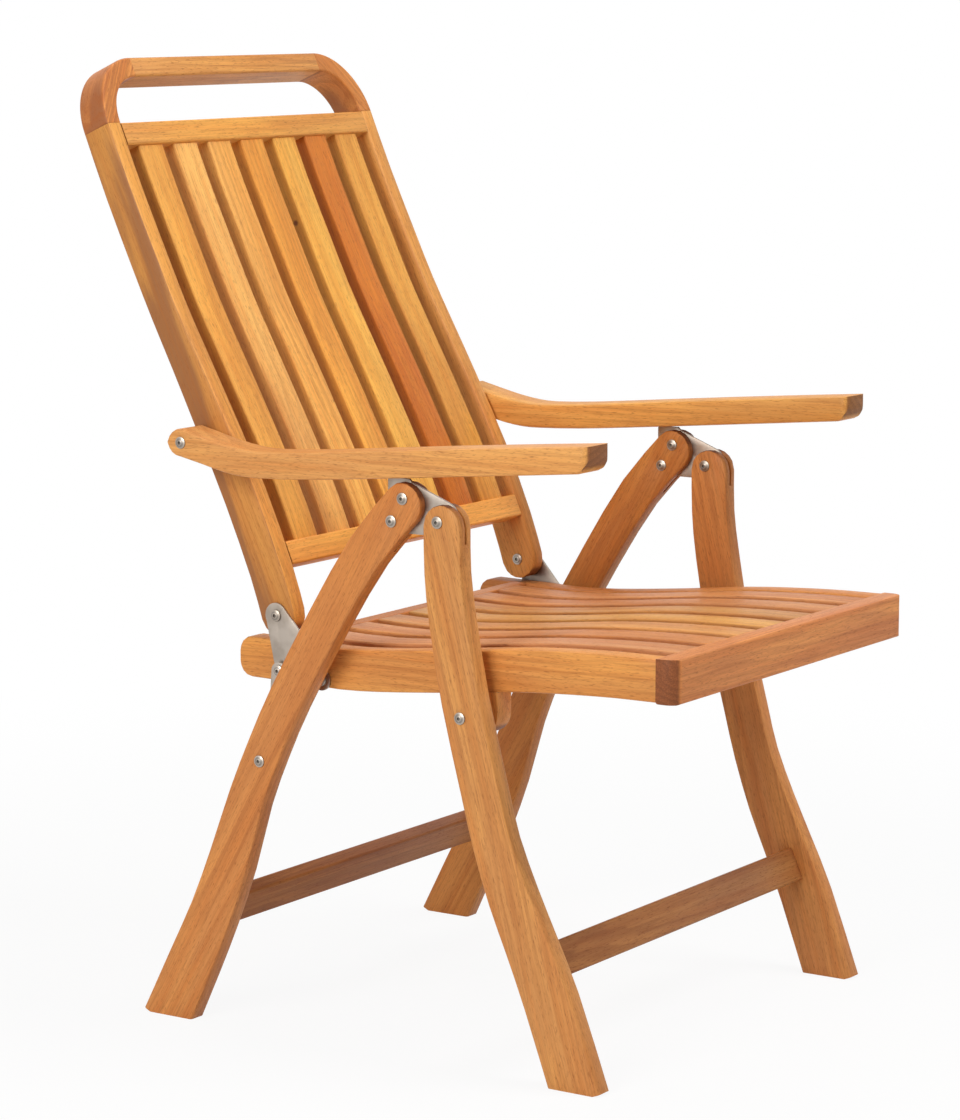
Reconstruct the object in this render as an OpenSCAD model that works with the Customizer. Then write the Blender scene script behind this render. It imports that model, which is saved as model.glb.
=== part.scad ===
// Folding garden chair in oiled hardwood, with a reclining slatted back.
// Millimetres. The feet stand on z = 0, the sitter faces -Y and left is +X.
// Side-view points are [y, z], measured from midway between the feet;
// chair() then moves them so that the origin lies under the middle of the whole chair.

/* [Frame] */
// Width across the outer faces of the legs
leg_span = 600; // [580:1:640]
// Thickness of the legs
leg_thickness = 23.5; // [22:0.5:26]
// Rounding along the edges of the legs
leg_round = 3; // [2:0.5:4]
// Gap between a leg and the seat rail beside it
frame_gap = 14.7; // [14:0.1:17]
// Height of a stretcher, along its leg
stretcher_height = 40; // [34:1:44]
// Thickness of a stretcher
stretcher_thickness = 20; // [18:1:26]
// Rounding of the edges of the cross rails and stretchers
rail_round = 3; // [2:0.5:5]

/* [Seat] */
// Height of the front edge of the seat
seat_height = 480; // [470:1:500]
// Height of the side rails of the seat
seat_rail_height = 47; // [44:1:50]
// Thickness of the side rails of the seat
seat_rail_thickness = 28; // [26:1:32]
// Thickness of the rail across the front of the seat
front_rail_thickness = 25.5; // [22:0.5:30]
// Rounding of the upright corners of the front rail
front_rail_corner = 14; // [8:1:18]
// Gap between two slats of the seat
seat_slat_gap = 18.75; // [12:0.25:22]
// Thickness of the slats of the seat
seat_slat_thickness = 14; // [12:1:18]
// How far the seat slats stand above the side rails
seat_slat_proud = 1; // [0.5:0.5:2]

/* [Backrest] */
// Thickness of the backrest stiles
stile_thickness = 23; // [21:0.5:26]
// Outer radius of the corners of the top handle
handle_radius = 80; // [60:1:95]
// Height of the bar of the top handle
handle_bar_height = 24; // [20:1:28]
// Height of the rail under the top handle
upper_rail_height = 28; // [22:1:34]
// Height of the rail at the foot of the backrest
lower_rail_height = 28; // [22:1:32]
// Thickness of the two backrest rails
back_rail_thickness = 27; // [24:1:30]
// Width of the slats of the backrest
back_slat_width = 44.5; // [38:0.5:52]
// Thickness of the slats of the backrest
back_slat_thickness = 18; // [14:0.5:19]
// How far the backrest slats lie behind the face of the stiles
back_slat_recess = 3.5; // [2:0.5:5]

/* [Armrests] */
// Width of an armrest
arm_width = 48; // [44:1:56]
// Gap between a backrest stile and the armrest beside it
arm_gap = 3.2; // [2.5:0.1:5]
// Radius of the rear end of an armrest
arm_end_radius = 16; // [14:0.5:17]
// Rounding of the upright corners at the front of an armrest
arm_corner = 11; // [6:1:16]
// Radius of the nose that holds up an armrest
nose_radius = 3.5; // [3:0.25:4]
// Depth of the notches that the nose drops into
notch_depth = 4.5; // [4:0.25:6]
// Number of positions of the backrest
positions = 5; // [3:1:5]

/* [Hardware] */
// Thickness of the steel plates, brackets and links
steel_thickness = 3; // [2.5:0.5:4]
// Clearance at each side of the steel plate in the slots of the legs
slot_clearance = 0.5; // [0.3:0.1:1]
// Diameter of the bolt heads
head_diameter = 13.5; // [12:0.5:18]
// Height of the bolt heads
head_height = 3; // [2:0.25:3.5]
// Diameter of the bolt shanks
shank_diameter = 6.4; // [5:0.2:8]
// Diameter of the tubes that space the moving pieces apart
spacer_diameter = 14; // [12:1:18]
// Width of the folding links
link_width = 20; // [16:1:24]
// Width across the flats of the hexagon sockets
key_size = 4; // [3:0.5:5]

/* [Hidden] */
$fn = 48;

// Clearances
fit = 0.05;         // between a bolt and what turns on it
running_gap = 0.3;  // between faces that pass each other
eps = 0.01;

// Positions across the chair, from its middle
leg_outer = leg_span / 2;
leg_inner = leg_outer - leg_thickness;
leg_middle = (leg_outer + leg_inner) / 2;
rail_outer = leg_inner - frame_gap;
rail_inner = rail_outer - seat_rail_thickness;
stile_inner = rail_outer - stile_thickness;
arm_inner = rail_outer + arm_gap;
arm_outer = arm_inner + arm_width;

// Pivots and bolts in the side view. All but the feet rise and fall with the seat.
function at_seat(y, dz) = [y, seat_height + dz];
fold_pivot = at_seat(-104, 131.5);
plate_bolt_top = at_seat(-58, 154);
plate_bolt_low = at_seat(-43, 128);
seat_pivot = at_seat(-133.5, -82);
link_foot = at_seat(140.5, -161.5);
link_head = at_seat(133, -61);
bracket_bolt = at_seat(79, -43.5 - seat_rail_height / 2);
back_pivot = at_seat(142, 1);
arm_pivot = at_seat(238, 197);

// Stations of the curved bars: [y, z, width across the bar]
rear_leg_stations = [
    each [for (s = [[-57, 147, 49.5], [-6, 91.5, 48], [49, 8.5, 46.5], [104, -85.5, 46.5], [134.5, -146, 47]])
        [s[0], seat_height + s[1], s[2]]],
    [161, 273.5, 49], [188, 196, 55.5], [215, 130, 58], [246, 66, 62], [284, -10, 64.8],
];
front_leg_stations = [
    each [for (s = [[-109, 126, 49], [-110, 75, 49], [-117, 20, 50.5], [-133, -64, 51], [-158.5, -162, 51]])
        [s[0], seat_height + s[1], s[2]]],
    [-174, 262, 51.5], [-196, 205, 56], [-219, 155, 58.5], [-246, 94, 62], [-284, -8, 63],
];
stile_stations = [for (s = [
        [142, 1, 48], [158.5, 49.5, 48], [194.5, 132.5, 47.5], [239, 220, 44.5], [272, 282.5, 41.5],
        [301, 337, 40], [328, 392.5, 40], [365.5, 472.5, 39.5], [396, 544.2, 39]])
    [s[0], seat_height + s[1], s[2]]];
arm_stations = [for (s = [
        [241, 196.5, 2 * arm_end_radius], [211, 189.7, 31], [183, 183.3, 31], [155, 179.2, 30.5], [127, 178.5, 29.5],
        [71, 181.5, 30], [3, 187.3, 30.5], [-129, 199.3, 30.5], [-257, 210.5, 29.5], [-304, 214.5, 29]])
    [s[0], seat_height + s[1], s[2]]];

front_face = -384;                                  // front face of the seat
rail_front = front_face + front_rail_thickness;     // where the side rails and slats begin
rail_rear = 195;                                    // rear end of the side rails
rear_rail_y = 126;                                  // front face of the rear rail, where the slats end
rear_rail_thickness = 20;
rear_rail_height = 25;
batten_y = -110;                                    // front face of the batten under the slats
batten_size = [40, 18];
tenon_depth = 9;
// Centre line of the seat's side rails: [y, height below the front edge]
seat_line = [
    [rail_front, 23.5], [-289, 24.5], [-187, 30.5], [-68, 43.5], [41, 52.5], [120, 51.5], [rail_rear, 50.5],
];

// Backrest, measured along its own face
handle_lean = 23.5;
back_across = [cos(handle_lean), -sin(handle_lean)];
back_along = [sin(handle_lean), cos(handle_lean)];
stile_top = stile_stations[len(stile_stations) - 1];
stile_depth = stile_top[2];
lower_rail_at = [158.5, seat_height + 49.5];        // point of the stile line beside the lower rail
lower_rail_lean = 23.4;
lower_across = [cos(lower_rail_lean), -sin(lower_rail_lean)];
lower_along = [sin(lower_rail_lean), cos(lower_rail_lean)];
lower_rail_rise = 12;                               // middle of the lower rail above that point
rear_face = stile_top[0] + back_along[0] * (handle_radius - leg_round)
    + back_across[0] * (stile_depth / 2 - leg_round) + leg_round;

// Armrest catch. Leaning back turns the arm by arm_follow for each degree of the backrest.
nose = at_seat(-46, 183);
arm_follow = -0.62;
recline_limit = 20;
groove_width = steel_thickness + 2;
groove_front = -134;
groove_rear = -22;
rack_height = 7;                                    // from the tips of the teeth to the roof of the groove

// The whole chair stands with the middle of its length over the origin.
centre_y = (front_face + rear_face) / 2;

oak = "#c98a4e";
dark_oak = "#a8673a";
steel = "#b9b6b0";

// Points on curves

// Rotates a side-view point about the origin, positive from +Y to +Z.
function turned(p, a) = [p[0] * cos(a) - p[1] * sin(a), p[0] * sin(a) + p[1] * cos(a)];
function side(p) = [p[0], p[1]];
function unit(v) = v / norm(v);

// Point at s on the smooth curve that passes through all of the stations, which s counts from 0.
function on_curve(list, s) =
    let (last = len(list) - 1, i = min(floor(s), last - 1), t = s - i,
         a = list[max(i - 1, 0)], b = list[i], c = list[i + 1], d = list[min(i + 2, last)])
    0.5 * (2 * b + (c - a) * t + (2 * a - 5 * b + 4 * c - d) * t * t
        + (3 * b - a - 3 * c + d) * t * t * t);
function direction(list, s) =
    unit(side(on_curve(list, min(s + 0.02, len(list) - 1)) - on_curve(list, max(s - 0.02, 0))));
function sampled(list, steps) = [for (i = [0 : steps * (len(list) - 1)]) i / steps];

// Height of the seat rail's centre line at y
function seat_line_z(y) =
    let (i = max([for (k = [0 : len(seat_line) - 2]) if (seat_line[k][0] <= y) k]),
         a = seat_line[max(i - 1, 0)], b = seat_line[i], c = seat_line[i + 1],
         d = seat_line[min(i + 2, len(seat_line) - 1)],
         t = (y - b[0]) / (c[0] - b[0]), h = c[0] - b[0],
         mb = (c[1] - a[1]) / (c[0] - a[0]) * h, mc = (d[1] - b[1]) / (d[0] - b[0]) * h)
    seat_height - ((2 * t ^ 3 - 3 * t ^ 2 + 1) * b[1] + (t ^ 3 - 2 * t ^ 2 + t) * mb
        + (3 * t ^ 2 - 2 * t ^ 3) * c[1] + (t ^ 3 - t ^ 2) * mc);

// Sections are rings of [x, across] with rounded corners, and a section is [centre, across, width, ...].
function corner(cx, cy, r, from, n) = [for (i = [0 : n]) let (a = from + 90 * i / n)
    [cx + r * cos(a), cy + r * sin(a)]];
function section(x0, x1, w, r, n) =
    let (q = min(r, w / 2 - eps))
    concat(corner(x1 - q, w / 2 - q, q, 0, n), corner(x0 + q, w / 2 - q, q, 90, n),
        corner(x0 + q, q - w / 2, q, 180, n), corner(x1 - q, q - w / 2, q, 270, n));

// A bar between x0 and x1. Each ring is [centre in the side view, direction across, width].
// Seen from +X, the direction across points to the left of the way the rings run.
module bar(rings, x0, x1, r, n = 2) {
    count = 4 * (n + 1);
    points = [for (g = rings) each [for (p = section(x0, x1, g[2], r, n))
        [p[0], g[0][0] + g[1][0] * p[1], g[0][1] + g[1][1] * p[1]]]];
    top = count * (len(rings) - 1);
    sides = [for (k = [0 : len(rings) - 2]) each [for (i = [0 : count - 1])
        let (a = k * count + i, b = k * count + (i + 1) % count)
        each [[a, b, b + count], [a, b + count, a + count]]]];
    ends = [[for (i = [count - 1 : -1 : 0]) i], [for (i = [0 : count - 1]) top + i]];
    polyhedron(points, concat(sides, ends), convexity = 6);
}

// Rings square to a curve, after a half-round end of the first station's width
function square_rings(list, steps, round_end = true) = concat(
    round_end
        ? let (c = list[0], d = direction(list, 0)) [for (a = [80, 62, 44, 26])
            [side(c) - d * c[2] / 2 * sin(a), [-d[1], d[0]], c[2] * cos(a)]]
        : [],
    [for (s = sampled(list, steps)) let (p = on_curve(list, s), d = direction(list, s))
        [side(p), [-d[1], d[0]], p[2]]]);

// Solids between two planes across the chair
module across(x0, x1) {
    translate([x0, 0, 0]) rotate([90, 0, 90]) linear_extrude(x1 - x0, convexity = 6) children();
}
module rod(p, d, x0, x1) {
    translate([x0, p[0], p[1]]) rotate([0, 90, 0]) cylinder(h = x1 - x0, d = d);
}
module bore(p, x0, x1, clearance = fit) {
    rod(p, shank_diameter + 2 * clearance, x0 - 1, x1 + 1);
}
module chair() {
    translate([0, -centre_y, 0]) children();
}
module on_side(s) {
    chair() if (s > 0) children(); else mirror([1, 0, 0]) children();
}
module rounded_rectangle(size, r) {
    q = min(r, size[0] / 2 - eps, size[1] / 2 - eps);
    for (u = [-1, 1]) {
        square([size[0] - (u > 0 ? 2 * q : 0), size[1] - (u < 0 ? 2 * q : 0)], center = true);
        for (v = [-1, 1]) translate([u * (size[0] / 2 - q), v * (size[1] / 2 - q)]) circle(q);
    }
}
// A round-ended outline between two points
module strap(a, b, w) {
    turn = atan2(b[1] - a[1], b[0] - a[0]);
    polygon([
        for (k = [0 : 15 : 180]) a + turned([w / 2, 0], turn + 90 + k),
        for (k = [0 : 15 : 180]) b + turned([w / 2, 0], turn - 90 + k),
    ]);
}
// Below the floor
module underground() {
    translate([-leg_span, -leg_span, -100]) cube([2 * leg_span, 2 * leg_span, 100]);
}

// Fasteners

// Domed head with a hexagon socket, standing on x = 0 and pointing to +X
module head() {
    radius = head_diameter / 2;
    rim = head_height * 0.4;
    dome = (radius ^ 2 + (head_height - rim) ^ 2) / (2 * (head_height - rim));
    rotate([0, 90, 0]) difference() {
        rotate_extrude() intersection() {
            translate([0, head_height - dome]) circle(dome, $fn = 96);
            square([radius, head_height]);
        }
        translate([0, 0, head_height - 2]) cylinder(h = 3, d = key_size / cos(30), $fn = 6);
    }
}
// Bolt with a head outside x1, and another outside x0 where both_ends is set
module bolt(p, x0, x1, both_ends = true) {
    rod(p, shank_diameter, x0 - (both_ends ? eps : 0), x1 + eps);
    translate([x1, p[0], p[1]]) head();
    if (both_ends) translate([x0, p[0], p[1]]) mirror([1, 0, 0]) head();
}

// Legs

// Saw cut that holds the steel plate in the top of a leg, with its depth at the front and rear edges
module leg_slot(stations, front_depth, rear_depth) {
    half = steel_thickness / 2 + slot_clearance;
    d = direction(stations, 0);
    w = stations[0][2];
    middle = (front_depth + rear_depth) / 2;
    slope = rear_depth - front_depth;
    across(leg_middle - half, leg_middle + half) translate(side(stations[0])) rotate(atan2(d[1], d[0]))
        polygon([[-w, -w], [middle - slope, -w], [middle + slope, w], [-w, w]]);
}
// Where a stretcher meets a leg: the point on the leg's line, and the direction down the leg
function stretcher_seat(stations, s) = [side(on_curve(stations, s)), direction(stations, s)];
rear_seat = stretcher_seat(rear_leg_stations, 6.96);
front_seat = stretcher_seat(front_leg_stations, 7.44);

module stretcher_profile(seat, grow = 0) {
    translate(seat[0]) rotate(atan2(seat[1][1], seat[1][0]))
        rounded_rectangle([stretcher_height - grow, stretcher_thickness - grow], rail_round);
}
module stretcher(seat) {
    across(-leg_inner, leg_inner) stretcher_profile(seat);
    across(-leg_inner - tenon_depth, leg_inner + tenon_depth) stretcher_profile(seat, 8);
}
module stretcher_mortise(seat) {
    across(leg_inner - 1, leg_inner + tenon_depth) stretcher_profile(seat, 8);
}

module rear_leg(s) {
    color(oak) on_side(s) difference() {
        bar(square_rings(rear_leg_stations, 2), leg_inner, leg_outer, leg_round);
        underground();
        leg_slot(rear_leg_stations, 52, 52);
        stretcher_mortise(rear_seat);
        for (p = [plate_bolt_top, plate_bolt_low, link_foot]) bore(p, leg_inner, leg_outer, 0);
    }
}
module front_leg(s) {
    color(oak) on_side(s) difference() {
        bar(square_rings(front_leg_stations, 2), leg_inner, leg_outer, leg_round);
        underground();
        leg_slot(front_leg_stations, 18, 38);
        stretcher_mortise(front_seat);
        bore(fold_pivot, leg_inner, leg_outer);
        bore(seat_pivot, leg_inner, leg_outer, 0);
    }
}
module rear_stretcher() {
    color(dark_oak) chair() stretcher(rear_seat);
}
module front_stretcher() {
    color(dark_oak) chair() stretcher(front_seat);
}

// Steel plate in the leg tops. Its tongue stands up into the armrest and ends in the nose.
module leg_plate(s) {
    tongue = [nose[0] - 16, nose[0] + 14];
    shoulder = nose[1] - 8;
    low = fold_pivot[1] - 17;
    lobe = 22.5;                                    // stays inside the round top of the front leg
    color(steel) on_side(s) difference() {
        across(leg_middle - steel_thickness / 2, leg_middle + steel_thickness / 2) {
            hull() {
                intersection() {
                    translate(fold_pivot) circle(lobe);
                    translate([fold_pivot[0] - 40, low]) square([80, 60]);
                }
                polygon([[fold_pivot[0], low], [tongue[0] - 2, low], [tongue[0] - 2, shoulder - 4]]);
            }
            polygon([[tongue[0] - 2, low], [plate_bolt_low[0] + 5, low], [plate_bolt_low[0] + 11, low + 9],
                [plate_bolt_low[0] + 11, low + 22], [tongue[1], shoulder - 12], [tongue[1], shoulder - 2],
                [tongue[1] - 2, shoulder], [tongue[0] + 2, shoulder], [tongue[0], shoulder - 2],
                [tongue[0] - 2, shoulder - 4]]);
            translate([nose[0] - nose_radius, shoulder - 2]) square([2 * nose_radius, nose[1] - shoulder + 2]);
            translate(nose) circle(nose_radius);
        }
        for (p = [plate_bolt_top, plate_bolt_low, fold_pivot]) bore(p, leg_middle - 5, leg_middle + 5, 0);
    }
}
module plate_bolts() {
    color(steel) for (s = [-1, 1]) on_side(s)
        for (p = [plate_bolt_top, plate_bolt_low, fold_pivot]) bolt(p, leg_inner, leg_outer);
}
// The bolt at the foot of each link, cut off flush with the inside of the leg
module link_bolts() {
    color(steel) for (s = [-1, 1]) on_side(s) bolt(link_foot, leg_inner, leg_outer, both_ends = false);
}

// Seat pivot on the front legs
module seat_pivot_bolts() {
    color(steel) for (s = [-1, 1]) on_side(s) bolt(seat_pivot, rail_inner, leg_outer);
}
module seat_pivot_spacers() {
    color(steel) for (s = [-1, 1]) on_side(s) difference() {
        rod(seat_pivot, spacer_diameter, rail_outer, leg_inner);
        bore(seat_pivot, rail_outer, leg_inner, 0);
    }
}

// Seat

seat_rail_end = 15;                                 // rounding of the rear ends of the side rails
function seat_rail_rings() = concat(
    [for (y = [rail_front : 26 : rail_rear - seat_rail_end - 4]) [[y, seat_line_z(y)], [0, 1], seat_rail_height]],
    [for (a = [0, 25, 50, 72, 88]) let (y = rail_rear - seat_rail_end * (1 - sin(a)))
        [[y, seat_line_z(y)], [0, 1], seat_rail_height - 2 * seat_rail_end * (1 - cos(a))]]);

module seat_rail_bar(grow = 0) {
    bar(seat_rail_rings(), rail_inner - grow, rail_outer + grow, leg_round);
}
module seat_rail(s) {
    color(oak) on_side(s) difference() {
        seat_rail_bar();
        across(rail_inner - 1, rail_inner + tenon_depth) rear_rail_profile(8);
        across(rail_inner - 1, rail_inner + tenon_depth) batten_profile(6);
        for (p = [bracket_bolt, link_head]) bore(p, rail_inner, rail_outer, 0);
    }
}
// Wooden block under each side rail, which turns on the seat pivot
module hinge_block(s) {
    radius = 24;
    rise = seat_line_z(seat_pivot[0]) - seat_pivot[1];
    color(oak) on_side(s) difference() {
        across(rail_inner, rail_outer) {
            translate(seat_pivot) circle(radius);
            translate([seat_pivot[0] - radius, seat_pivot[1]]) square([2 * radius, rise]);
        }
        seat_rail_bar(1);
        bore(seat_pivot, rail_inner, rail_outer);
    }
}
// The top of the front rail is level with the slats, which meet its square rear edge
module seat_front_rail() {
    height = seat_rail_height + 2 * seat_slat_proud;
    color(oak) chair() difference() {
        intersection() {
            translate([0, front_face + front_rail_thickness / 2 + front_rail_corner, 0])
                linear_extrude(2 * seat_height)
                rounded_rectangle([2 * rail_outer, front_rail_thickness + 2 * front_rail_corner], front_rail_corner);
            across(-rail_outer, rail_outer)
                translate([front_face + front_rail_thickness / 2, seat_height - seat_rail_height / 2]) {
                    rounded_rectangle([front_rail_thickness, height], rail_round);
                    square([front_rail_thickness / 2, height / 2]);
                }
        }
        for (i = [1 : slats]) slat_tenon(i, rail_front - tenon_depth, rail_front + 1);
    }
}
module rear_rail_profile(shrink = 0) {
    top = seat_line_z(rear_rail_y) + seat_rail_height / 2 + seat_slat_proud;
    translate([rear_rail_y + rear_rail_thickness / 2, top - rear_rail_height / 2])
        rounded_rectangle([rear_rail_thickness - shrink, rear_rail_height - shrink], 1.5);
}
module seat_rear_rail() {
    color(oak) chair() difference() {
        union() {
            across(-rail_inner, rail_inner) rear_rail_profile();
            across(-rail_inner - tenon_depth, rail_inner + tenon_depth) rear_rail_profile(8);
        }
        for (i = [1 : slats]) slat_tenon(i, rear_rail_y - 1, rear_rail_y + tenon_depth);
    }
}
module batten_profile(shrink = 0) {
    low = min(seat_line_z(batten_y), seat_line_z(batten_y + batten_size[0])) + seat_rail_height / 2
        + seat_slat_proud - seat_slat_thickness;
    translate([batten_y + shrink / 2, low - batten_size[1] + shrink / 2])
        square([batten_size[0] - shrink, batten_size[1] - shrink]);
}
module seat_batten() {
    color(dark_oak) chair() {
        across(-rail_inner, rail_inner) batten_profile();
        across(-rail_inner - tenon_depth, rail_inner + tenon_depth) batten_profile(6);
    }
}

slats = 7;
seat_slat_width = (2 * rail_inner - (slats + 1) * seat_slat_gap) / slats;
function seat_slat_x(i) = (i - (slats + 1) / 2) * (seat_slat_width + seat_slat_gap);
function seat_slat_z(y) = seat_line_z(y) + seat_rail_height / 2 + seat_slat_proud - seat_slat_thickness / 2;

// Tongue at the front or rear end of a seat slat
module slat_tenon(i, y0, y1) {
    z = seat_slat_z(y0 < 0 ? rail_front : rear_rail_y);
    translate([seat_slat_x(i) - seat_slat_width / 2 + 5, y0, z - seat_slat_thickness / 2 + 4])
        cube([seat_slat_width - 10, y1 - y0, seat_slat_thickness - 8]);
}
module seat_slat(i) {
    stops = 11;
    rings = [for (k = [0 : stops]) let (y = rail_front + (rear_rail_y - rail_front) * k / stops)
        [[y, seat_slat_z(y)], [0, 1], seat_slat_thickness]];
    color(oak) chair() difference() {
        union() {
            bar(rings, seat_slat_x(i) - seat_slat_width / 2, seat_slat_x(i) + seat_slat_width / 2, 2, 1);
            slat_tenon(i, rail_front - tenon_depth, rail_front + 1);
            slat_tenon(i, rear_rail_y - 1, rear_rail_y + tenon_depth);
        }
        across(-rail_outer, rail_outer) batten_profile();
    }
}

// Steel bracket on the outside of each side rail, which carries the backrest pivot
module seat_bracket(s) {
    color(steel) on_side(s) difference() {
        across(rail_outer, rail_outer + steel_thickness) {
            translate(back_pivot) circle(14.5);
            translate(bracket_bolt) circle(12);
            translate(link_head) circle(10);
            polygon([back_pivot + [-11, 9.5], bracket_bolt + [-10, 6.5], bracket_bolt + [0, -12],
                link_head + [0, -10], link_head + [10, 0], back_pivot + [14.5, 0]]);
        }
        for (p = [bracket_bolt, link_head]) bore(p, rail_outer, rail_outer + 5, 0);
        bore(back_pivot, rail_outer, rail_outer + 5);
    }
}
module bracket_bolts() {
    color(steel) for (s = [-1, 1]) on_side(s) {
        bolt(bracket_bolt, rail_inner, rail_outer + steel_thickness);
        bolt(link_head, rail_inner, link_outer + running_gap);
        rod(link_head, spacer_diameter, rail_outer + steel_thickness, link_inner - running_gap);
    }
}

// Folding links between the seat brackets and the rear legs
link_outer = leg_inner - head_height - 3 * running_gap;
link_inner = link_outer - steel_thickness;
module link(s) {
    color(steel) on_side(s) difference() {
        across(link_inner, link_outer) strap(link_head, link_foot, link_width);
        bore(link_head, link_inner, link_outer);
        bore(link_foot, link_inner, link_outer, 0);
    }
}
module link_studs() {
    color(steel) for (s = [-1, 1]) on_side(s) {
        rod(link_foot, spacer_diameter, link_outer, leg_inner - running_gap);
        rod(link_foot, shank_diameter, link_inner - eps, link_outer + eps);
        translate([link_inner, link_foot[0], link_foot[1]]) mirror([1, 0, 0]) head();
    }
}

// Backrest

module backrest_bolts() {
    color(steel) for (s = [-1, 1]) on_side(s) bolt(back_pivot, stile_inner, rail_outer + steel_thickness);
}
// Across the chair, up the leaning back and out of its face, from a side-view point
module leaning(p, lean) {
    translate([0, p[0], p[1]]) rotate([90 - lean, 0, 0]) children();
}
// The upper rail and handle, measured from the top of the stiles
module on_back_face() {
    leaning(stile_top, handle_lean) children();
}
module backrest_stile(s) {
    color(oak) on_side(s) difference() {
        bar(square_rings(stile_stations, 2), stile_inner, rail_outer, leg_round);
        on_back_face() translate([0, 0, -stile_depth]) cube([leg_span, 100, 2 * stile_depth]);
        bore(back_pivot, stile_inner, rail_outer);
        bore(arm_pivot, stile_inner, rail_outer);
        across(stile_inner - 1, stile_inner + tenon_depth) lower_rail_profile(8);
        on_back_face() upper_rail_bar(tenon_depth, 8);
    }
}
module handle_profile() {
    translate([handle_radius - handle_bar_height / 2, 0])
        rounded_rectangle([handle_bar_height, stile_depth], leg_round);
}
module handle_corner(s) {
    turn = rail_outer - handle_radius;
    color(dark_oak) on_side(s) on_back_face() translate([turn, 0, 0]) {
        difference() {
            rotate_extrude() handle_profile();
            translate([-2 * handle_radius, -2 * handle_radius, -stile_depth])
                cube([2 * handle_radius, 4 * handle_radius, 2 * stile_depth]);
            translate([-eps, -2 * handle_radius, -stile_depth])
                cube([2 * handle_radius, 2 * handle_radius, 2 * stile_depth]);
        }
    }
}
module handle_bar() {
    turn = rail_outer - handle_radius;
    color(oak) chair() on_back_face() translate([-turn, 0, 0]) rotate([90, 0, 90])
        linear_extrude(2 * turn) handle_profile();
}
module upper_rail_bar(extend = 0, shrink = 0) {
    half = stile_inner + extend;
    face = stile_depth / 2;
    translate([-half, -upper_rail_height / 2, face - back_rail_thickness / 2]) rotate([90, 0, 90])
        linear_extrude(2 * half)
        rounded_rectangle([upper_rail_height - shrink, back_rail_thickness - shrink], rail_round);
}
module backrest_upper_rail() {
    color(oak) chair() difference() {
        on_back_face() {
            upper_rail_bar();
            upper_rail_bar(tenon_depth, 8);
        }
        for (i = [1 : slats]) back_slat_tenons(i);
    }
}
module lower_rail_profile(shrink = 0) {
    translate(lower_rail_at + lower_along * lower_rail_rise
        - lower_across * (stile_stations[1][2] - back_rail_thickness) / 2)
        rotate(90 - lower_rail_lean)
        rounded_rectangle([lower_rail_height - shrink, back_rail_thickness - shrink], rail_round);
}
module backrest_lower_rail() {
    color(oak) chair() difference() {
        union() {
            across(-stile_inner, stile_inner) lower_rail_profile();
            across(-stile_inner - tenon_depth, stile_inner + tenon_depth) lower_rail_profile(8);
        }
        for (i = [1 : slats]) back_slat_tenons(i);
    }
}

back_slat_pitch = (2 * stile_inner + back_slat_width * 0.15) / (slats + 0.5);
function back_slat_x(i) = (i - (slats + 1) / 2) * back_slat_pitch;
// The slats run from the top of the lower rail to the underside of the upper one
function slat_offset(stile_width) = stile_width / 2 - back_slat_recess - back_slat_thickness / 2;
slat_foot = lower_rail_at + lower_along * (lower_rail_rise + lower_rail_height / 2)
    - lower_across * slat_offset(stile_stations[1][2]);
slat_head = side(stile_top) - back_along * upper_rail_height - back_across * slat_offset(stile_depth);

module back_slat_tenons(i) {
    size = [back_slat_width - 10, tenon_depth + 1, back_slat_thickness - 6];
    leaning(slat_foot, lower_rail_lean)
        translate([back_slat_x(i) - size[0] / 2, -tenon_depth, -size[2] / 2]) cube(size);
    leaning(slat_head, handle_lean)
        translate([back_slat_x(i) - size[0] / 2, -1, -size[2] / 2]) cube(size);
}
module backrest_slat(i) {
    low = 1.7;
    high = len(stile_stations) - 1.55;
    stops = 12;
    rings = [
        [slat_foot, -lower_across, back_slat_thickness],
        for (k = [0 : stops]) let (s = low + (high - low) * k / stops, p = on_curve(stile_stations, s),
                d = direction(stile_stations, s), n = [-d[1], d[0]])
            [side(p) + n * slat_offset(p[2]), n, back_slat_thickness],
        [slat_head, -back_across, back_slat_thickness],
    ];
    color(oak) chair() {
        bar(rings, back_slat_x(i) - back_slat_width / 2, back_slat_x(i) + back_slat_width / 2, 1.5, 1);
        back_slat_tenons(i);
    }
}

// Armrests

function arm_rings() =
    let (c = arm_stations[0], front = arm_stations[len(arm_stations) - 1], nose_y = front[0], drop = 27, reach = 14)
    concat(
        [for (a = [80, 60, 40, 20]) [[c[0] + arm_end_radius * sin(a), c[1]], [0, -1],
            2 * arm_end_radius * cos(a)]],
        [for (s = sampled(arm_stations, 2)) let (p = on_curve(arm_stations, s)) if (p[0] > nose_y + reach + 2)
            [side(p), [0, -1], p[2]]],
        [for (a = [0, 25, 50, 72, 88]) let (y = nose_y + reach * (1 - sin(a)), up = drop * (1 - cos(a)),
            top = front[1] + front[2] / 2 - (y - nose_y) * 0.085)
            [[y, top - (front[2] - up) / 2], [0, -1], front[2] - up]]);

module armrest(s) {
    color(oak) on_side(s) difference() {
        intersection() {
            bar(arm_rings(), arm_inner, arm_outer, 4);
            translate([arm_inner + arm_width / 2, arm_stations[len(arm_stations) - 1][0] + seat_height, 0])
                linear_extrude(2 * seat_height)
                rounded_rectangle([arm_width, 2 * seat_height], arm_corner);
        }
        across(leg_middle - groove_width / 2, leg_middle + groove_width / 2) groove_outline();
        bore(arm_pivot, arm_inner, arm_outer, arm_bush_wall);
    }
}

// Where a point of the frame lies in the armrest when the backrest has turned by q
function in_arm(p, q) =
    let (pivot = back_pivot + turned(arm_pivot - back_pivot, q))
    arm_pivot + turned(p - pivot, -q * (1 + arm_follow));
function nose_path(q) = in_arm(nose, q) + [0, nose_radius + running_gap];
recline_step = recline_limit / (positions - 1);

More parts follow.
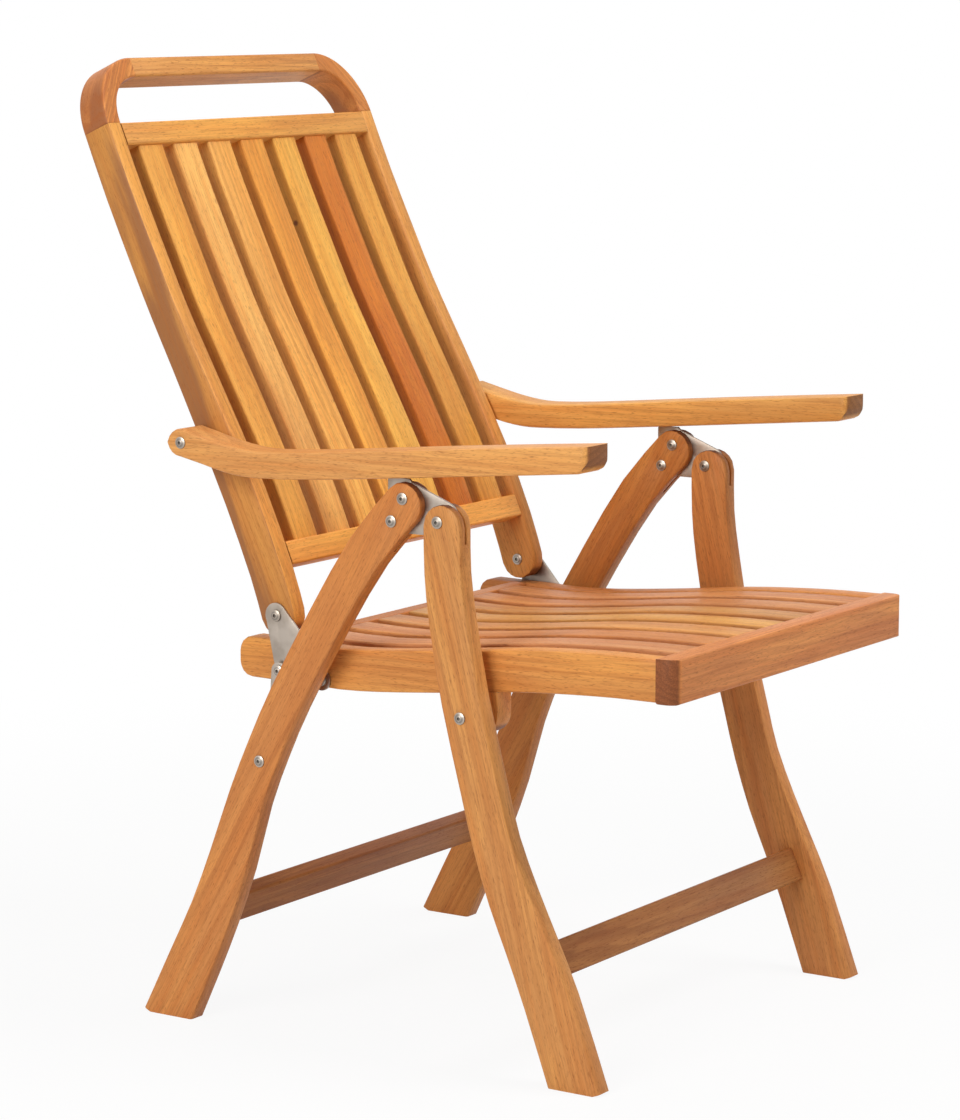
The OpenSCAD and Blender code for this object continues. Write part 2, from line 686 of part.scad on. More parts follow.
module groove_outline() {
    roof = [for (q = [recline_limit * 0.25 : -recline_limit / 8 : -recline_limit * 1.25])
        nose_path(q) + [0, rack_height + notch_depth]];
    ends = [[groove_rear, roof[0][1]], each [for (p = roof) if (p[0] < groove_rear && p[0] > groove_front) p],
        [groove_front, roof[len(roof) - 1][1]]];
    polygon(concat(ends, [[groove_front, seat_height + 150], [groove_rear, seat_height + 150]]));
}
module armrest_rack(s) {
    teeth = [for (q = [recline_limit * 0.25 : -recline_limit / 16 : -recline_limit * 1.25]) nose_path(q)];
    notch = nose_radius + 0.4;
    color(steel) on_side(s) across(leg_middle - groove_width / 2, leg_middle + groove_width / 2) difference() {
        intersection() {
            groove_outline();
            polygon(concat([[groove_rear, teeth[0][1]]],
                [for (p = teeth) if (p[0] < groove_rear && p[0] > groove_front) p],
                [[groove_front, teeth[len(teeth) - 1][1]], [groove_front, arm_pivot[1] + arm_width],
                    [groove_rear, arm_pivot[1] + arm_width]]));
        }
        for (k = [0 : positions - 1]) translate(in_arm(nose, -k * recline_step)) {
            translate([0, notch_depth]) circle(notch);
            translate([-notch, 0]) square([2 * notch, notch_depth]);
        }
    }
}

arm_bush_wall = 2;
module armrest_bolts() {
    color(steel) for (s = [-1, 1]) on_side(s) bolt(arm_pivot, stile_inner, arm_outer);
}
// Flanged bush in each armrest, around its pivot bolt
module armrest_bushes() {
    color("#d8d2c4") for (s = [-1, 1]) on_side(s) difference() {
        union() {
            rod(arm_pivot, shank_diameter + 2 * arm_bush_wall - 2 * fit, arm_inner - eps, arm_outer);
            rod(arm_pivot, spacer_diameter + 4, rail_outer, arm_inner);
        }
        bore(arm_pivot, rail_outer, arm_outer);
    }
}

rear_leg(1);  // rear_leg_left
rear_leg(-1);  // rear_leg_right
rear_stretcher();
leg_plate(1);  // leg_plate_left
leg_plate(-1);  // leg_plate_right
plate_bolts();
link_bolts();
front_leg(1);  // front_leg_left
front_leg(-1);  // front_leg_right
front_stretcher();
seat_pivot_bolts();
seat_pivot_spacers();
seat_rail(1);  // seat_rail_left
seat_rail(-1);  // seat_rail_right
seat_front_rail();
seat_rear_rail();
seat_batten();
for (i = [1 : slats]) seat_slat(i);
hinge_block(1);  // hinge_block_left
hinge_block(-1);  // hinge_block_right
seat_bracket(1);  // seat_bracket_left
seat_bracket(-1);  // seat_bracket_right
bracket_bolts();
link(1);  // link_left
link(-1);  // link_right
link_studs();
backrest_bolts();
backrest_stile(1);  // backrest_stile_left
backrest_stile(-1);  // backrest_stile_right
handle_bar();
handle_corner(1);  // handle_corner_left
handle_corner(-1);  // handle_corner_right
backrest_upper_rail();
backrest_lower_rail();
for (i = [1 : slats]) backrest_slat(i);
armrest_bolts();
armrest_bushes();
armrest(1);  // armrest_left
armrest(-1);  // armrest_right
armrest_rack(1);  // armrest_rack_left
armrest_rack(-1);  // armrest_rack_right
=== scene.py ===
import math

import bpy
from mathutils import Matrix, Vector

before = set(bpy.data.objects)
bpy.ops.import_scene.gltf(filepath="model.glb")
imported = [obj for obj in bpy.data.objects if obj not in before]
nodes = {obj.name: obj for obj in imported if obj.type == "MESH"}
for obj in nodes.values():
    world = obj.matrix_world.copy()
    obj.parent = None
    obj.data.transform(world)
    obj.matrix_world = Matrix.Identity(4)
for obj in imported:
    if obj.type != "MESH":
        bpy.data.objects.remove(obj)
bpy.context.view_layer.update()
print("frame loaded:", len(nodes), "pieces")


# camera and studio

photoCamera = {
    "azimuth": -56.39,
    "elevation": 8.81,
    "lens": 118.8,
    "sensor": 36.0,
    "clip": (0.1, 60.0),
    "place": (-3.582, -2.3717, 1.186),
}


def makeCamera():
    data = bpy.data.cameras.new("photoCamera")
    data.lens = photoCamera["lens"]
    data.sensor_width = photoCamera["sensor"]
    data.clip_start, data.clip_end = photoCamera["clip"]
    camera = bpy.data.objects.new("photoCamera", data)
    bpy.context.scene.collection.objects.link(camera)
    a = math.radians(photoCamera["azimuth"])
    e = math.radians(photoCamera["elevation"])
    look = Vector((-math.sin(a) * math.cos(e), math.cos(a) * math.cos(e), -math.sin(e)))
    camera.location = photoCamera["place"]
    camera.rotation_euler = look.to_track_quat("-Z", "Y").to_euler()
    bpy.context.scene.camera = camera


makeCamera()

# each lamp: where it stands, what it points at, size in metres, power in watts, colour
lamps = {
    "keySoftbox": {
        "at": (-3.7, 0.1, 2.2),
        "to": (0.0, 0.0, 0.50),
        "size": 2.0,
        "watts": 92,
        "tint": (1.0, 0.99, 0.97),
    },
    "frontSoftbox": {
        "at": (0.7, -2.4, 3.7),
        "to": (0.0, 0.0, 0.6),
        "size": 1.8,
        "watts": 88,
        "tint": (1.0, 0.99, 0.98),
    },
    "topSoftbox": {
        "at": (0.3, 0.4, 3.6),
        "to": (0.0, 0.0, 0.4),
        "size": 2.2,
        "watts": 27,
        "tint": (1.0, 1.0, 1.0),
    },
}


def makeLamp(name, lamp):
    data = bpy.data.lights.new(name, "AREA")
    data.shape = "SQUARE"
    data.size = lamp["size"]
    data.energy = lamp["watts"]
    data.color = lamp["tint"]
    light = bpy.data.objects.new(name, data)
    bpy.context.scene.collection.objects.link(light)
    light.location = lamp["at"]
    aim = Vector(lamp["to"]) - Vector(lamp["at"])
    light.rotation_euler = aim.to_track_quat("-Z", "Y").to_euler()


for lampName, lamp in lamps.items():
    makeLamp(lampName, lamp)
bpy.context.scene.view_settings.view_transform = "Standard"
print("camera and lamps placed")


# shader writing

class Value:
    def __init__(self, shader, socket):
        self.shader = shader
        self.socket = socket

    def math(self, operation, *others):
        return self.shader.maths(operation, self, *others)

    def __add__(self, other):
        return self.shader.maths("ADD", self, other)

    def __radd__(self, other):
        return self.shader.maths("ADD", other, self)

    def __sub__(self, other):
        return self.shader.maths("SUBTRACT", self, other)

    def __rsub__(self, other):
        return self.shader.maths("SUBTRACT", other, self)

    def __mul__(self, other):
        return self.shader.maths("MULTIPLY", self, other)

    def __rmul__(self, other):
        return self.shader.maths("MULTIPLY", other, self)

    def clamped(self, low=0.0, high=1.0):
        return self.math("MAXIMUM", low).math("MINIMUM", high)

    # 0 below low, 1 above high, and a soft step between them
    def rise(self, low, high):
        return self.shader.node(
            "ShaderNodeMapRange",
            {"interpolation_type": "SMOOTHSTEP", "clamp": True},
            {"Value": self, "From Min": low, "From Max": high})


# the nodes of one material or of the world
class Shader:
    def __init__(self, owner):
        self.owner = owner
        owner.use_nodes = True
        self.tree = owner.node_tree
        self.tree.nodes.clear()

    # a node of a type, its settings, then its inputs by name or in order; gives back one output
    def node(self, kind, settings=None, inputs=None, output=0):
        made = self.tree.nodes.new(kind)
        for key, setting in (settings or {}).items():
            setattr(made, key, setting)
        pairs = inputs.items() if isinstance(inputs, dict) else enumerate(inputs or [])
        for key, given in pairs:
            if isinstance(given, Value):
                self.tree.links.new(given.socket, made.inputs[key])
            else:
                made.inputs[key].default_value = given
        return Value(self, made.outputs[output])

    def maths(self, operation, *given):
        return self.node("ShaderNodeMath", {"operation": operation}, list(given))

    # colour A where amount is 0 and colour B where it is 1; the colour sockets of a Mix node are 6 and 7
    def mix(self, amount, colourA, colourB):
        settings = {"data_type": "RGBA", "blend_type": "MIX", "clamp_factor": True}
        inputs = {0: amount, 6: withAlpha(colourA), 7: withAlpha(colourB)}
        return self.node("ShaderNodeMix", settings, inputs, output=2)

    def noise(self, place, scale, detail, roughness):
        return self.node(
            "ShaderNodeTexNoise",
            {"noise_dimensions": "3D"},
            {"Vector": place, "Scale": scale, "Detail": detail, "Roughness": roughness})

    def vector(self, operation, *given, output="Vector"):
        return self.node("ShaderNodeVectorMath", {"operation": operation}, list(given), output)

    # how squarely the surface faces along a direction, from either side
    def facing(self, direction):
        normal = self.node("ShaderNodeTexCoord", output="Normal")
        return self.vector("DOT_PRODUCT", normal, direction, output="Value").math("ABSOLUTE")

    # 1 for what the camera sees, straight or in a reflection, and 0 for what only gives light
    def seen(self):
        rays = self.node("ShaderNodeLightPath", output="Is Camera Ray")
        for ray in ("Is Glossy Ray", "Is Transmission Ray"):
            rays = rays + self.node("ShaderNodeLightPath", output=ray)
        return rays.clamped()

    def finish(self, shader, kind="ShaderNodeOutputMaterial"):
        end = self.tree.nodes.new(kind)
        self.tree.links.new(shader.socket, end.inputs["Surface"])
        return self.owner


def withAlpha(colour):
    if isinstance(colour, Value) or len(colour) == 4:
        return colour
    return (*colour, 1.0)


# the colour that a screen shows as these numbers, each from 11 to 255
def screen(red, green, blue):
    return tuple(((part / 255 + 0.055) / 1.055) ** 2.4 for part in (red, green, blue))


# wood

# side: how squarely a face looks left or right before the painted side shade, partly darker heartwood,
# darkens it;
# shift: how far the patterns move from one seed to the next, and where they begin
woodLook = {
    "roughness": (0.40, 0.58),
    "roughEnds": 0.10,
    "roughPores": 0.08,
    "specular": 0.24,
    "coat": 0.05,
    "coatRoughness": 0.26,
    "bump": {"strength": 0.55, "depth": 0.00020, "fibre": 0.6, "lateWood": 0.2, "pores": 0.8, "ends": 0.5},
    "side": (0.5, 0.9),
    "shift": (1.7, 0.31),
}

# growth rings, their spacing and bends in metres; pith says how near the log's heart lies to the board
# along its two sides, with a step to one of a few places for each seed; late wood begins and ends
# between parts of a ring
woodRings = {
    "spacing": 0.0085,
    "wander": 0.040,
    "ripple": 0.014,
    "slant": 0.03,
    "waver": 1.6,
    "pithU": {"near": 0.05, "step": 0.021, "jump": 7, "places": 5},
    "pithV": {"near": 0.045, "step": 0.017, "jump": 11, "places": 6},
    "lateBegins": (0.20, 0.88),
    "lateEnds": (0.92, 1.0),
}

# how often each pattern repeats in a metre across and along the fibres, how fine and rough its noise is,
# the noise levels over which it comes up, and how strongly it colours the wood
woodPatterns = {
    "wander": {"repeats": (7.0, 1.9), "detail": 2.0, "roughness": 0.5},
    "ripple": {"repeats": (36.0, 3.6), "detail": 2.0, "roughness": 0.55},
    "cloud": {"repeats": (14.0, 3.4), "detail": 3.0, "roughness": 0.6, "levels": (0.36, 0.64)},
    "streak": {"repeats": (64.0, 2.2), "detail": 4.0, "roughness": 0.6, "levels": (0.42, 0.70),
               "strength": 0.62},
    "heart": {"repeats": (20.0, 1.2), "detail": 3.0, "roughness": 0.55, "levels": (0.46, 0.64)},
    "flames": {"repeats": (30.0, 3.0), "detail": 3.0, "roughness": 0.55, "levels": (0.42, 0.58),
               "strength": 0.58},
    "lines": {"repeats": (210.0, 2.6), "detail": 3.0, "roughness": 0.6, "levels": (0.50, 0.72),
              "strength": 0.85},
    "patches": {"repeats": (10.0, 2.4), "detail": 2.0, "roughness": 0.5, "levels": (0.40, 0.62),
                "strength": 0.75},
    "fibre": {"repeats": (560.0, 20.0), "detail": 3.0, "roughness": 0.62, "levels": (0.42, 0.72),
              "strength": 0.36},
    "pores": {"repeats": (1100.0, 120.0), "detail": 1.0, "roughness": 0.5, "levels": (0.58, 0.72),
              "strength": 0.50},
}

# tints as shares of the board's own red, green and blue
woodTints = {
    "pale": (1.16, 1.20, 1.12),
    "red": (0.94, 0.72, 0.52),
    "amber": (0.84, 0.66, 0.50),
    "deep": (0.56, 0.42, 0.36),
    "pore": (0.392, 0.252, 0.216),
    "knot": (0.252, 0.1512, 0.144),
    "end": (0.40, 0.32, 0.34),
}
paleLift = (0.02, 0.01, 0.0)
# colours of the painted shade on faces to the left and right, as shares of the board's own colour: the
# grey one partly darker heartwood, the warm one painted shade between the slats
greySideShadeAndHeart = (0.42, 0.38, 0.60)
warmSideShade = (0.50, 0.31, 0.27)
knotSize = (0.0015, 0.0050)

# cut ends: how many specks in a metre and their levels, how bright the specks, the wood between them
# and the rings are beside the end tint, and how strongly the rings show
endLook = {
    "specks": 900.0,
    "levels": (0.35, 0.7),
    "speckShade": 0.78,
    "woodShade": 1.28,
    "ringShade": 0.62,
    "ringStrength": 0.45,
}


def tinted(tone, shares, times=1.0):
    return tuple(part * share * times for part, share in zip(tone, shares))


def pithDistance(pith, seed):
    return pith["near"] + pith["step"] * ((seed * pith["jump"]) % pith["places"])


# the late wood of each ring; the rings are long uneven flames where the board is cut off-centre
def makeRings(u, v, w, wander, ripple, seed):
    bentU = u + pithDistance(woodRings["pithU"], seed) + (wander - 0.5) * woodRings["wander"]
    bentV = v + pithDistance(woodRings["pithV"], seed) + (ripple - 0.5) * woodRings["ripple"]
    bentV = bentV + w * woodRings["slant"]
    distance = (bentU * bentU + bentV * bentV).math("SQRT")
    turns = distance * (1 / woodRings["spacing"]) + ripple * woodRings["waver"]
    ring = turns.math("FRACT")
    return ring.rise(*woodRings["lateBegins"]) * (1 - ring.rise(*woodRings["lateEnds"]))


# grain: the way the board's fibres run; tone: the board's own colour; figure: how strong its lines show;
# streaks: how much amber heartwood runs through it; the next two: how much painted shade, partly darker
# heartwood, darkens its faces to the left and right, and to what; cut: how squarely a face must cut
# the fibres to look like end grain
def makeWood(name, grain, tone, figure=0.5, seed=0, streaks=0.5, sideShadeAndHeart=0.0, sideShadeAndHeartTint=greySideShadeAndHeart,
             cut=(0.62, 0.86), knot=None):
    wood = Shader(bpy.data.materials.new(name))
    along = Vector(grain).normalized()
    # the patterns are level with X, except on boards that run along it themselves
    sideways = along.orthogonal().normalized()
    if abs(along.x) < 0.9:
        sideways = (Vector((1, 0, 0)) - along * along.x).normalized()
    third = along.cross(sideways)
    here = wood.node("ShaderNodeTexCoord", output="Object")
    u = wood.vector("DOT_PRODUCT", here, tuple(sideways), output="Value")
    v = wood.vector("DOT_PRODUCT", here, tuple(third), output="Value")
    w = wood.vector("DOT_PRODUCT", here, tuple(along), output="Value")
    endOn = wood.facing(tuple(along)).rise(*cut)
    # mask of the painted side shade, partly darker heartwood: faces that look left or right
    sideShadeOn = wood.facing((1, 0, 0)).rise(*woodLook["side"])
    shift = woodLook["shift"][0] * seed + woodLook["shift"][1]

    def pattern(kind):
        given = woodPatterns[kind]
        across, lengthways = given["repeats"]
        parts = [u * across + shift, v * across - shift, w * lengthways + shift]
        place = wood.node("ShaderNodeCombineXYZ", None, parts)
        return wood.noise(place, 1.0, given["detail"], given["roughness"])

    def shown(kind):
        return pattern(kind).rise(*woodPatterns[kind]["levels"])

    def strength(kind):
        return woodPatterns[kind]["strength"]

    lateWood = makeRings(u, v, w, pattern("wander"), pattern("ripple"), seed)
    fibre = pattern("fibre")
    fibreLines = fibre.rise(*woodPatterns["fibre"]["levels"])
    pores = shown("pores")
    flames = (1 - strength("flames")) + strength("flames") * shown("flames")

    pale = tuple(part + lift for part, lift in zip(tinted(tone, woodTints["pale"]), paleLift))
    deep = tinted(tone, woodTints["deep"])
    colour = wood.mix(shown("cloud"), pale, tone)
    colour = wood.mix(shown("streak") * strength("streak"), colour, tinted(tone, woodTints["red"]))
    colour = wood.mix(shown("heart") * streaks, colour, tinted(tone, woodTints["amber"]))
    # painted shade on the faces to the left and right, in a flame pattern, partly darker heartwood
    colour = wood.mix(sideShadeOn * sideShadeAndHeart * flames, colour, tinted(tone, sideShadeAndHeartTint))
    colour = wood.mix(shown("lines") * figure * strength("lines"), colour, deep)
    colour = wood.mix(lateWood * figure * strength("patches") * shown("patches"), colour, deep)
    colour = wood.mix(fibreLines * strength("fibre"), colour, deep)
    colour = wood.mix(pores * strength("pores") * (1 - endOn), colour, tinted(tone, woodTints["pore"]))
    if knot:
        apart = wood.vector("DISTANCE", here, knot, output="Value")
        colour = wood.mix(1 - apart.rise(*knotSize), colour, tinted(tone, woodTints["knot"]))

    # cut ends drink the oil and turn dark
    speckTone = tinted(tone, woodTints["end"], endLook["speckShade"])
    endTone = tinted(tone, woodTints["end"], endLook["woodShade"])
    ringTone = tinted(tone, woodTints["end"], endLook["ringShade"])
    specks = wood.noise(here, endLook["specks"], detail=2.0, roughness=0.6)
    endColour = wood.mix(specks.rise(*endLook["levels"]), speckTone, endTone)
    endColour = wood.mix(lateWood * endLook["ringStrength"], endColour, ringTone)
    colour = wood.mix(endOn, colour, endColour)

    low, high = woodLook["roughness"]
    rough = low + (high - low) * fibre + woodLook["roughEnds"] * endOn + woodLook["roughPores"] * pores
    relief = woodLook["bump"]
    height = fibre * relief["fibre"] + lateWood * relief["lateWood"] - pores * relief["pores"]
    bump = wood.node("ShaderNodeBump", None, {
        "Strength": relief["strength"],
        "Distance": relief["depth"],
        "Height": height * (1 - relief["ends"] * endOn),
    })
    shader = wood.node("ShaderNodeBsdfPrincipled", None, {
        "Base Color": colour,
        "Roughness": rough.clamped(),
        "Specular IOR Level": woodLook["specular"],
        "Coat Weight": woodLook["coat"],
        "Coat Roughness": woodLook["coatRoughness"],
        "Normal": bump,
    })
    return wood.finish(shader)


# the ways that the fibres run
rearLegWay = (0, 0.50, -0.866)
frontLegWay = (0, -0.27, -0.963)
railWay = (0, 1, -0.03)
armWay = (0, 1, -0.02)
seatSlatWay = (0, 1, -0.05)
blockWay = (0, 0.2, 0.98)
stileWay = (0, 0.42, 0.91)
crossWay = (1, 0, 0)
rightCornerWay = (0.62, 0.31, 0.72)
leftCornerWay = (-0.62, 0.31, 0.72)

# each wooden piece: tone is its colour in daylight, and what isn't given is as in makeWood
boards = {
    "rear_leg_right": {"grain": rearLegWay, "tone": screen(215, 143, 80), "figure": 0.42, "seed": 1},
    "rear_leg_left": {"grain": rearLegWay, "tone": screen(201, 134, 71), "figure": 0.45, "seed": 2},
    "front_leg_right": {"grain": frontLegWay, "tone": screen(215, 150, 86), "figure": 0.40, "seed": 3},
    "front_leg_left": {"grain": frontLegWay, "tone": screen(210, 142, 81), "figure": 0.42, "seed": 4},
    "rear_stretcher": {"grain": crossWay, "tone": screen(175, 112, 60), "figure": 0.55, "seed": 5},
    "front_stretcher": {"grain": crossWay, "tone": screen(168, 112, 67), "figure": 0.50, "seed": 6},
    "seat_rail_right": {"grain": railWay, "tone": screen(219, 149, 79), "figure": 0.50, "seed": 7},
    "seat_rail_left": {"grain": railWay, "tone": screen(208, 138, 80), "figure": 0.45, "seed": 8},
    "seat_front_rail": {"grain": crossWay, "tone": screen(217, 141, 80), "figure": 0.38, "seed": 9,
                        "cut": (0.20, 0.52)},
    "seat_rear_rail": {"grain": crossWay, "tone": screen(214, 142, 82), "figure": 0.40, "seed": 10},
    "seat_batten": {"grain": crossWay, "tone": screen(190, 126, 74), "figure": 0.50, "seed": 11},
    "hinge_block_right": {"grain": blockWay, "tone": screen(222, 150, 82), "figure": 0.45, "seed": 12},
    "hinge_block_left": {"grain": blockWay, "tone": screen(214, 142, 78), "figure": 0.45, "seed": 13},
    # this stile and the handle corners get painted shade on their side faces, partly darker heartwood
    "backrest_stile_right": {"grain": stileWay, "tone": screen(226, 156, 76), "figure": 0.45,
                             "seed": 14, "streaks": 0.3, "sideShadeAndHeart": 0.95},
    "backrest_stile_left": {"grain": stileWay, "tone": screen(224, 158, 84), "figure": 0.38,
                            "seed": 15},
    "handle_bar": {"grain": crossWay, "tone": screen(222, 157, 86), "figure": 0.55, "seed": 16},
    "handle_corner_right": {"grain": rightCornerWay, "tone": screen(216, 140, 74), "figure": 0.75,
                            "seed": 17, "sideShadeAndHeart": 0.8},
    "handle_corner_left": {"grain": leftCornerWay, "tone": screen(218, 146, 78), "figure": 0.60,
                           "seed": 18, "sideShadeAndHeart": 0.8},
    "backrest_upper_rail": {"grain": crossWay, "tone": screen(232, 166, 83), "figure": 0.45,
                            "seed": 19},
    "backrest_lower_rail": {"grain": crossWay, "tone": screen(245, 175, 84), "figure": 0.40,
                            "seed": 20},
    "armrest_right": {"grain": armWay, "tone": screen(224, 160, 93), "figure": 0.42, "seed": 21},
    "armrest_left": {"grain": armWay, "tone": screen(227, 166, 90), "figure": 0.50, "seed": 22},
}

# the slats, from the sitter's right to left: tone, then how strong the lines show
backSlats = [
    (screen(239, 171, 82), 0.30),
    (screen(245, 184, 105), 0.50),
    (screen(252, 188, 100), 0.62),
    (screen(247, 176, 81), 0.55),
    (screen(247, 186, 88), 0.35),
    (screen(214, 127, 47), 0.30),
    (screen(227, 162, 77), 0.28),
]
seatSlats = [
    (screen(212, 149, 98), 0.42),
    (screen(206, 140, 86), 0.42),
    (screen(212, 150, 90), 0.42),
    (screen(216, 158, 88), 0.42),
    (screen(208, 150, 88), 0.42),
    (screen(202, 136, 84), 0.42),
    (screen(208, 142, 90), 0.42),
]
# the slats' side faces, between the slats, get painted shade in a warm brown
slatSets = {
    "backrest_slat": {"slats": backSlats, "grain": stileWay, "sideShadeAndHeart": 0.5, "seed": 30},
    "seat_slat": {"slats": seatSlats, "grain": seatSlatWay, "sideShadeAndHeart": 0.6, "seed": 40},
}
for kind, given in slatSets.items():
    for index, (tone, figure) in enumerate(given["slats"]):
        boards[f"{kind}_{index + 1}"] = {
            "grain": given["grain"],
            "tone": tone,
            "figure": figure,
            "seed": given["seed"] + index,
            "sideShadeAndHeart": given["sideShadeAndHeart"],
            "sideShadeAndHeartTint": warmSideShade,
        }
boards["backrest_slat_5"]["knot"] = (0.0423, 0.3060, 0.9027)


# metal and nylon

steelLook = {
    "bright": (0.47, 0.405, 0.345),
    "dull": (0.34, 0.285, 0.235),
    # the painted shade of the bolt heads' groove and socket and the painted shadow round their rim
    "ring": (0.20, 0.18, 0.16),
    "roughness": (0.26, 0.44),
    "roughSmear": 0.08,
    "brushed": (40.0, 40.0, 1400.0),
    "turned": (500.0, 500.0, 500.0),
    "smears": 38.0,
    "smearLevels": (0.35, 0.70),
    "bump": {"strength": 0.35, "depth": 0.00005},
}

# the domed bolt heads turn about the X axis, so how squarely a face looks along it tells its ring; a
# groove, the socket and the rim get painted shade
boltRings = {
    "grooveBegins": (0.925, 0.94),
    "grooveEnds": (0.958, 0.970),
    "socket": (0.993, 0.996),
    "edge": (0.35, 0.70),
    "paintedGrooveShadeShare": 0.75,
    "paintedSocketShadeShare": 0.9,
    "edgeShare": 0.8,
}


def makeSteel(name, turned, seed=0):
    steel = Shader(bpy.data.materials.new(name))
    here = steel.node("ShaderNodeTexCoord", output="Object")
    stretched = steel.vector("MULTIPLY", here, steelLook["turned" if turned else "brushed"])
    moved = steel.vector("ADD", stretched, (seed, seed, seed))
    lines = steel.noise(moved, 1.0, detail=3.0, roughness=0.6)
    smear = steel.noise(here, steelLook["smears"], detail=3.0, roughness=0.5)
    colour = steel.mix(smear.rise(*steelLook["smearLevels"]), steelLook["bright"], steelLook["dull"])
    if turned:
        # painted shade in the groove and the socket, and a painted shadow round the rim
        tilt = steel.facing((1, 0, 0))
        paintedGrooveShade = tilt.rise(*boltRings["grooveBegins"]) * (1 - tilt.rise(*boltRings["grooveEnds"]))
        socket = tilt.rise(*boltRings["socket"])
        edge = 1 - tilt.rise(*boltRings["edge"])
        dark = paintedGrooveShade * boltRings["paintedGrooveShadeShare"] + socket * boltRings["paintedSocketShadeShare"]
        dark = dark + edge * boltRings["edgeShare"]
        colour = steel.mix(dark.clamped(), colour, steelLook["ring"])
    low, high = steelLook["roughness"]
    rough = low + (high - low) * lines + steelLook["roughSmear"] * smear
    bump = steel.node("ShaderNodeBump", None, {
        "Strength": steelLook["bump"]["strength"],
        "Distance": steelLook["bump"]["depth"],
        "Height": lines,
    })
    shader = steel.node("ShaderNodeBsdfPrincipled", None, {
        "Base Color": colour,
        "Metallic": 1.0,
        "Roughness": rough.clamped(),
        "Normal": bump,
    })
    return steel.finish(shader)


nylonLook = {
    "dark": (0.62, 0.60, 0.55),
    "light": (0.70, 0.68, 0.63),
    "grains": 900.0,
    "roughness": (0.45, 0.55),
    "bump": {"strength": 0.2, "depth": 0.0001},
}


def makeNylon(name):
    nylon = Shader(bpy.data.materials.new(name))
    here = nylon.node("ShaderNodeTexCoord", output="Object")
    grainy = nylon.noise(here, nylonLook["grains"], detail=2.0, roughness=0.5)
    low, high = nylonLook["roughness"]
    bump = nylon.node("ShaderNodeBump", None, {
        "Strength": nylonLook["bump"]["strength"],
        "Distance": nylonLook["bump"]["depth"],
        "Height": grainy,
    })
    shader = nylon.node("ShaderNodeBsdfPrincipled", None, {
        "Base Color": nylon.mix(grainy, nylonLook["dark"], nylonLook["light"]),
        "Roughness": low + (high - low) * grainy,
        "Normal": bump,
    })
    return nylon.finish(shader)


plateSteel = makeSteel("brushedPlate", False)
boltSteel = makeSteel("turnedBolt", True, 3)
nylonBush = makeNylon("nylonBush")
metalPieces = {
    "leg_plate_left": plateSteel,
    "leg_plate_right": plateSteel,
    "seat_bracket_left": plateSteel,
    "seat_bracket_right": plateSteel,
    "link_left": plateSteel,
    "link_right": plateSteel,
    "armrest_rack_left": plateSteel,
    "armrest_rack_right": plateSteel,
    "plate_bolts": boltSteel,
    "link_bolts": boltSteel,
    "seat_pivot_bolts": boltSteel,
    "seat_pivot_spacers": boltSteel,
    "bracket_bolts": boltSteel,
    "link_studs": boltSteel,
    "backrest_bolts": boltSteel,
    "armrest_bolts": boltSteel,
    "armrest_bushes": nylonBush,
}


# soft edges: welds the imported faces, shades curves smooth and eases the sharp edges

edgeLook = {
    "weld": 0.00001,
    "smoothAngle": 32.0,
    "easeAngle": 40.0,
    "woodEase": 0.0007,
    "steelEase": 0.00025,
    "easeSteps": 2,
}


def makeSmoothing():
    group = bpy.data.node_groups.new("shadeCurves", "GeometryNodeTree")
    for direction in ("INPUT", "OUTPUT"):
        group.interface.new_socket("Geometry", in_out=direction, socket_type="NodeSocketGeometry")
    start = group.nodes.new("NodeGroupInput")
    end = group.nodes.new("NodeGroupOutput")
    angle = group.nodes.new("GeometryNodeInputMeshEdgeAngle")
    under = group.nodes.new("FunctionNodeCompare")
    under.data_type = "FLOAT"
    under.operation = "LESS_THAN"
    under.inputs[1].default_value = math.radians(edgeLook["smoothAngle"])
    faces = group.nodes.new("GeometryNodeSetShadeSmooth")
    faces.domain = "FACE"
    edges = group.nodes.new("GeometryNodeSetShadeSmooth")
    edges.domain = "EDGE"
    link = group.links.new
    link(start.outputs[0], faces.inputs["Geometry"])
    link(faces.outputs[0], edges.inputs["Geometry"])
    link(angle.outputs["Unsigned Angle"], under.inputs[0])
    link(under.outputs[0], edges.inputs["Shade Smooth"])
    link(edges.outputs[0], end.inputs[0])
    return group


shadeCurves = makeSmoothing()


def easeEdges(piece, width):
    weld = piece.modifiers.new("weld", "WELD")
    weld.merge_threshold = edgeLook["weld"]
    if width:
        ease = piece.modifiers.new("ease", "BEVEL")
        ease.width = width
        ease.segments = edgeLook["easeSteps"]
        ease.limit_method = "ANGLE"
        ease.angle_limit = math.radians(edgeLook["easeAngle"])
        ease.use_clamp_overlap = True
    shade = piece.modifiers.new("shade", "NODES")
    shade.node_group = shadeCurves


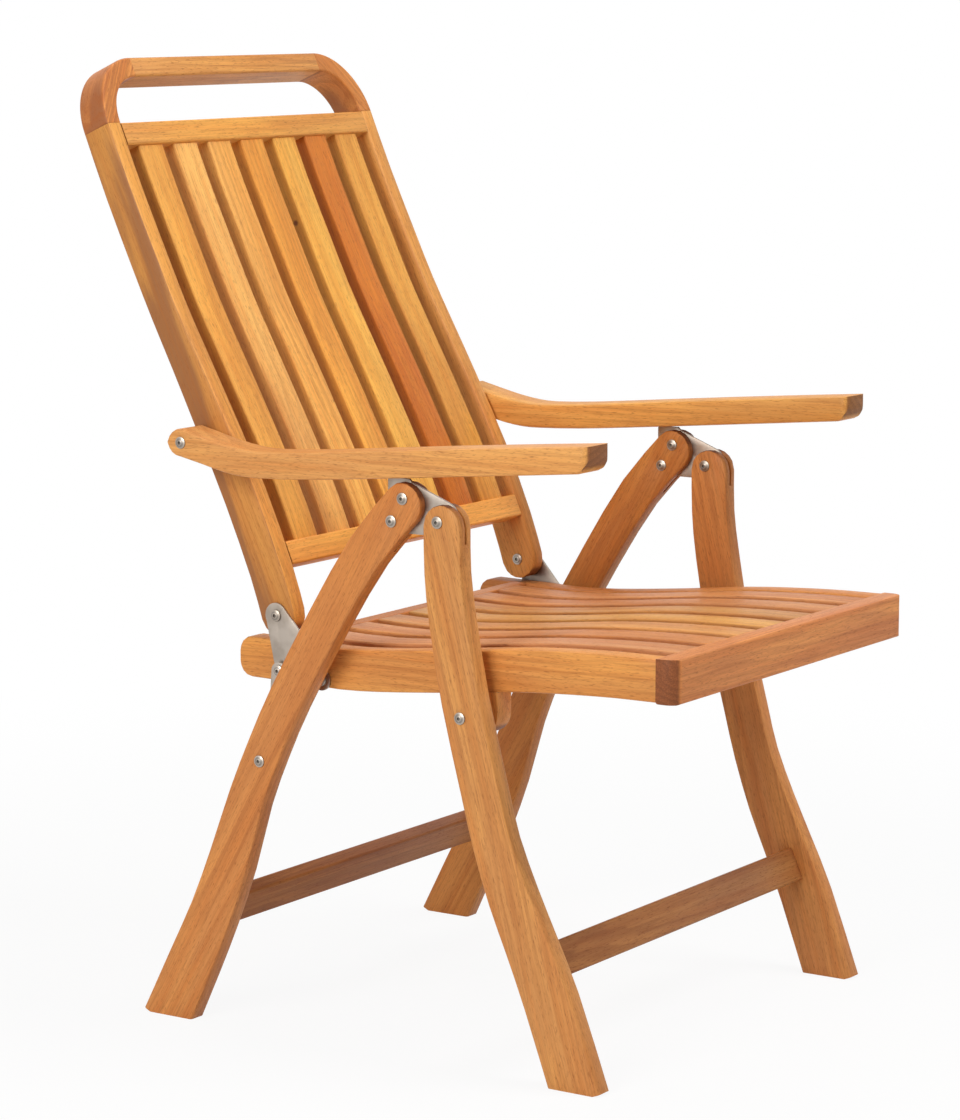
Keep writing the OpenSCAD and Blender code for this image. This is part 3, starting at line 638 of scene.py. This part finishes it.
def dress(name, material, ease):
    piece = nodes[name]
    piece.data.materials.clear()
    piece.data.materials.append(material)
    easeEdges(piece, ease)


for name, board in boards.items():
    dress(name, makeWood(name, **board), edgeLook["woodEase"])
print("wood dressed:", len(boards))
for name, material in metalPieces.items():
    domed = "bolts" in name or "studs" in name
    dress(name, material, 0 if domed else edgeLook["steelEase"])
print("steel dressed:", len(metalPieces))
print("left bare:", sorted(set(nodes) - set(boards) - set(metalPieces)))


# floor and background

# the shadow is faint beside the chair and fades into the white further out, over the fade's metres
floorLook = {"radius": 30.0, "grey": (0.86, 0.86, 0.86, 1.0), "glow": 0.91, "fade": (0.6, 2.0)}
worldLook = {"soft": (1.0, 0.99, 0.98, 1.0), "softStrength": 0.18}
whiteLook = {"Color": (1, 1, 1, 1), "Strength": 1.0}


def makeFloor():
    floor = Shader(bpy.data.materials.new("paleFloor"))
    lit = floor.node("ShaderNodeBsdfDiffuse", None, {"Color": floorLook["grey"]})
    glow = floor.node("ShaderNodeEmission", None, whiteLook)
    here = floor.node("ShaderNodeTexCoord", output="Object")
    apart = floor.vector("LENGTH", here, output="Value")
    white = floorLook["glow"] + (1 - floorLook["glow"]) * apart.rise(*floorLook["fade"])
    shader = floor.node("ShaderNodeMixShader", None, [floor.seen() * white, lit, glow])
    mesh = bpy.data.meshes.new("floor")
    r = floorLook["radius"]
    mesh.from_pydata([(-r, -r, 0), (r, -r, 0), (r, r, 0), (-r, r, 0)], [], [(0, 1, 2, 3)])
    plane = bpy.data.objects.new("floor", mesh)
    bpy.context.scene.collection.objects.link(plane)
    plane.data.materials.append(floor.finish(shader))


def makeWorld():
    studio = Shader(bpy.data.worlds.new("studio"))
    soft = studio.node("ShaderNodeBackground", None, {
        "Color": worldLook["soft"],
        "Strength": worldLook["softStrength"],
    })
    white = studio.node("ShaderNodeBackground", None, whiteLook)
    shader = studio.node("ShaderNodeMixShader", None, [studio.seen(), soft, white])
    bpy.context.scene.world = studio.finish(shader, "ShaderNodeOutputWorld")


makeFloor()
makeWorld()
print("floor and world made")
